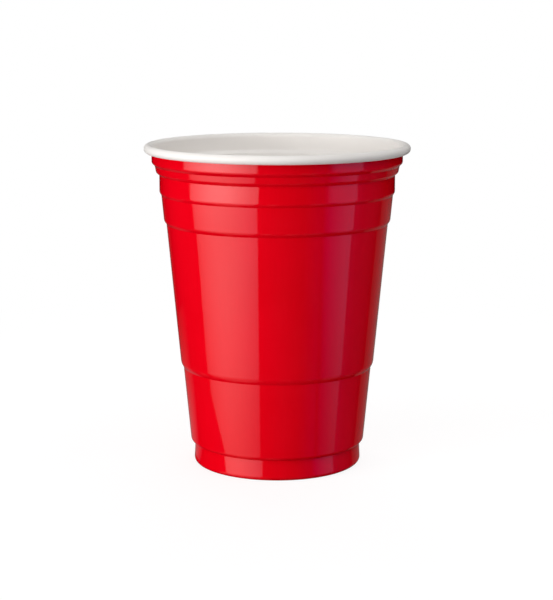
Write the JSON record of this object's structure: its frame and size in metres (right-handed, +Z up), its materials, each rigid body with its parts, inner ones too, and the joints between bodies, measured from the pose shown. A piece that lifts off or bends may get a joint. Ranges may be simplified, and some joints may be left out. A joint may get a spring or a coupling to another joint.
{
  "type": "disposable plastic cup",
  "caption": "Tapered party cup formed from one plastic sheet, red outside and white inside, with a rolled rim, stepped grip bands and a pushed-up floor.",
  "frame": {"origin": "centre of the foot on the table plane", "axes": "+Z up along the cup's axis, -Y towards the viewer, +X to the viewer's right"},
  "size_m": [0.095, 0.095, 0.116],
  "materials": {
    "cup": "glossy red outside, satin white inside and over the rolled rim"
  },
  "bodies": {
    "root": {"cup": "cup"}
  },
  "joints": []
}
